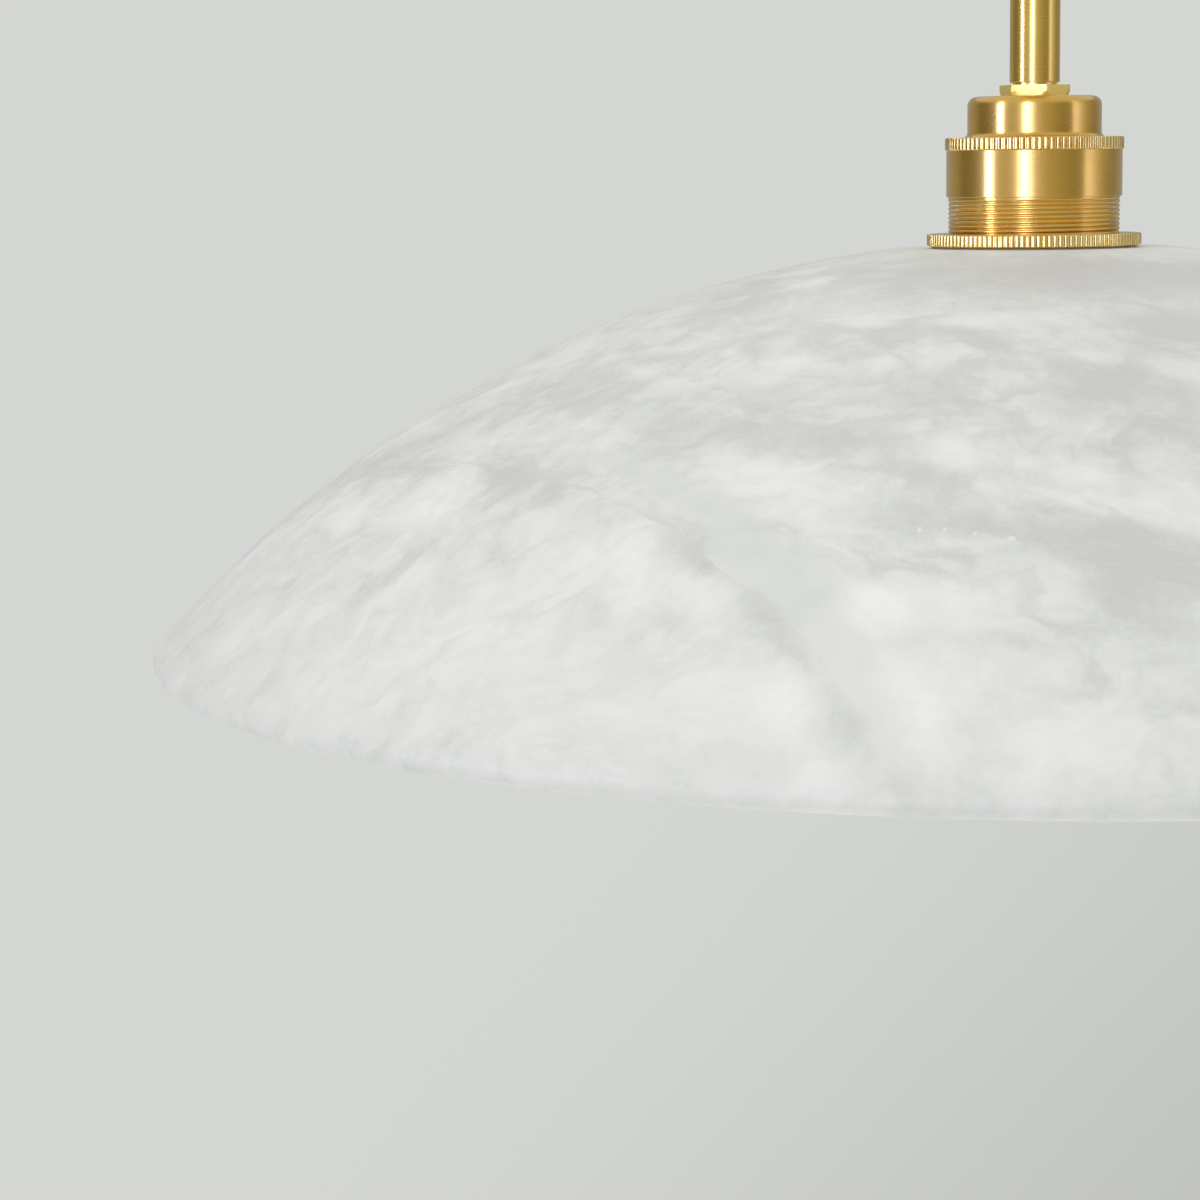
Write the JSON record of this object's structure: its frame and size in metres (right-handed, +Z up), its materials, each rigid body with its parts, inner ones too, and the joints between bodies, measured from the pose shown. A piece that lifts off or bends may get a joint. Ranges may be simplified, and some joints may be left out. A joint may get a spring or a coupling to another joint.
{
  "type": "pendant light",
  "caption": "Pendant light: a shallow stone dome clamped by knurled brass rings to a threaded brass lampholder on a rigid rod, with a ceiling rose and bracket.",
  "frame": {"origin": "on the ceiling plane, midway between the bracket's screw slots, on the axis of the rod", "axes": "+Z up along the rod, +X along the ceiling bracket, the lamp hangs towards -Z"},
  "size_m": [0.4, 0.4, 0.4444],
  "materials": {
    "satin_brass": "fine turned satin, lacquered",
    "polished_brass": "polished",
    "steel": "zinc plated",
    "nickel": "nickel plated",
    "alabaster": "satin polished, clouded white and grey",
    "porcelain": "plain fired porcelain",
    "silicone": "translucent silicone",
    "block_plastic": "moulded",
    "opal_glass": "opal white",
    "black_glass": "fused black insulator",
    "wire_blue": "insulated core",
    "wire_brown": "insulated core",
    "wire_green": "insulated core"
  },
  "bodies": {
    "fixture": {"ceiling_bracket": "steel", "bracket_nuts": "polished_brass", "upper_nipple": "steel", "terminal_block": "block_plastic", "terminal_block_screws": "steel", "bracket_earth_screw": "polished_brass", "rod": "satin_brass", "neutral_wire": "wire_blue", "live_wire": "wire_brown", "earth_wire": "wire_green", "lower_nipple": "steel", "lock_nut": "polished_brass", "lampholder_cap": "satin_brass", "lampholder_barrel": "satin_brass", "lampholder_insert": "porcelain", "screw_shell": "polished_brass", "centre_contact": "polished_brass", "contact_rivets": "polished_brass", "holder_terminals": "polished_brass", "holder_terminal_screws": "steel"},
    "rose": {"ceiling_rose": "satin_brass", "rose_collar": "satin_brass", "collar_grub_screw": "steel"},
    "upper_clamp": {"upper_washer": "silicone"},
    "upper_ring": {"upper_shade_ring": "satin_brass"},
    "dome": {"shade": "alabaster", "lower_washer": "silicone"},
    "lower_ring": {"lower_shade_ring": "satin_brass"},
    "bulb": {"bulb_glass": "opal_glass", "bulb_cap": "nickel", "bulb_insulator": "black_glass", "bulb_tip": "nickel"}
  },
  "joints": [
    {"name": "rose_slide", "type": "slide", "parent": "fixture", "child": "rose", "axis": [0, 0, -1], "range_m": [0, 0.2]},
    {"name": "upper_ring_climb", "type": "slide", "parent": "fixture", "child": "upper_clamp", "axis": [0, 0, 1], "range_m": [0, 0.008]},
    {"name": "upper_ring_turn", "type": "hinge", "parent": "upper_clamp", "child": "upper_ring", "pos_m": [0, 0, -0.3515], "axis": [0, 0, 1], "range_deg": [0, 2884]},
    {"name": "shade_lower", "type": "slide", "parent": "fixture", "child": "dome", "axis": [0, 0, -1], "range_m": [0, 0.006]},
    {"name": "lower_ring_turn", "type": "hinge", "parent": "dome", "child": "lower_ring", "pos_m": [0, 0, -0.3636], "axis": [0, 0, -1], "range_deg": [0, 2163]},
    {"name": "bulb_out", "type": "slide", "parent": "fixture", "child": "bulb", "axis": [0, 0, -1], "range_m": [0, 0.11]}
  ],
  "couplings": [
    {"joint": "upper_ring_turn", "follows": "upper_ring_climb", "rad_per_m": 6283.2},
    {"joint": "lower_ring_turn", "follows": "shade_lower", "rad_per_m": 6283.2}
  ]
}
